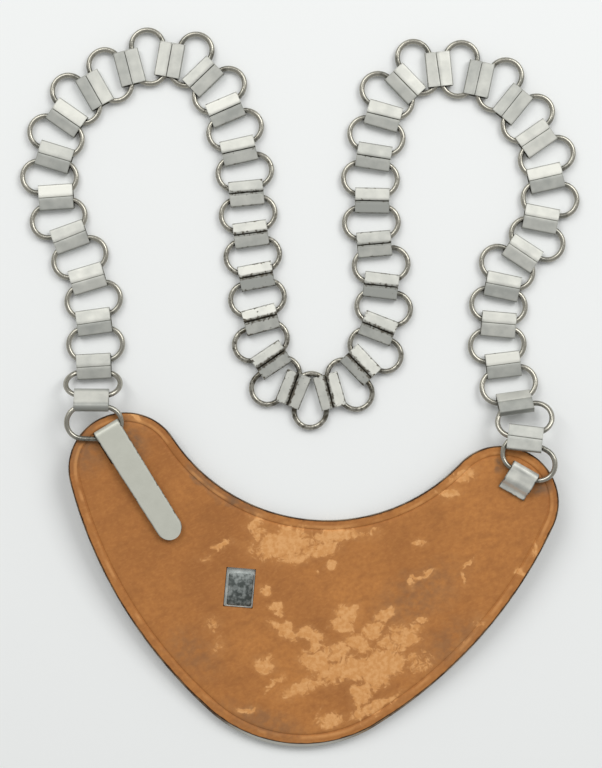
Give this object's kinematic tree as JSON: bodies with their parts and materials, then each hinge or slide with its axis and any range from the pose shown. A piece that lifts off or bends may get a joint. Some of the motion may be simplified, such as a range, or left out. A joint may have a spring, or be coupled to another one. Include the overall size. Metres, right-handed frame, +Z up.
{
  "type": "steel gorget with neck chain",
  "caption": "Steel gorget lying face down, with a leatherboard backing, a spring prong, a short tab and a chain of wire rings in folded plates laid in two loops.",
  "frame": {"origin": "middle of the object's box, on the floor", "axes": "+Z up, +Y from the gorget's point towards the chain's loops, X across the gorget"},
  "size_m": [0.1892, 0.2418, 0.0144],
  "materials": {
    "pressed_steel": "satin pressed sheet",
    "leatherboard": "pressed brown fibre, scuffed",
    "worn_steel": "dark and worn",
    "silver_paint": "silver paint, worn at edges"
  },
  "bodies": {
    "root": {"front_shell": "pressed_steel", "backing_board": "leatherboard", "window_plate": "worn_steel", "long_prong": "silver_paint", "short_tab": "silver_paint", "chain_left": "silver_paint", "chain_right": "silver_paint"}
  },
  "joints": []
}
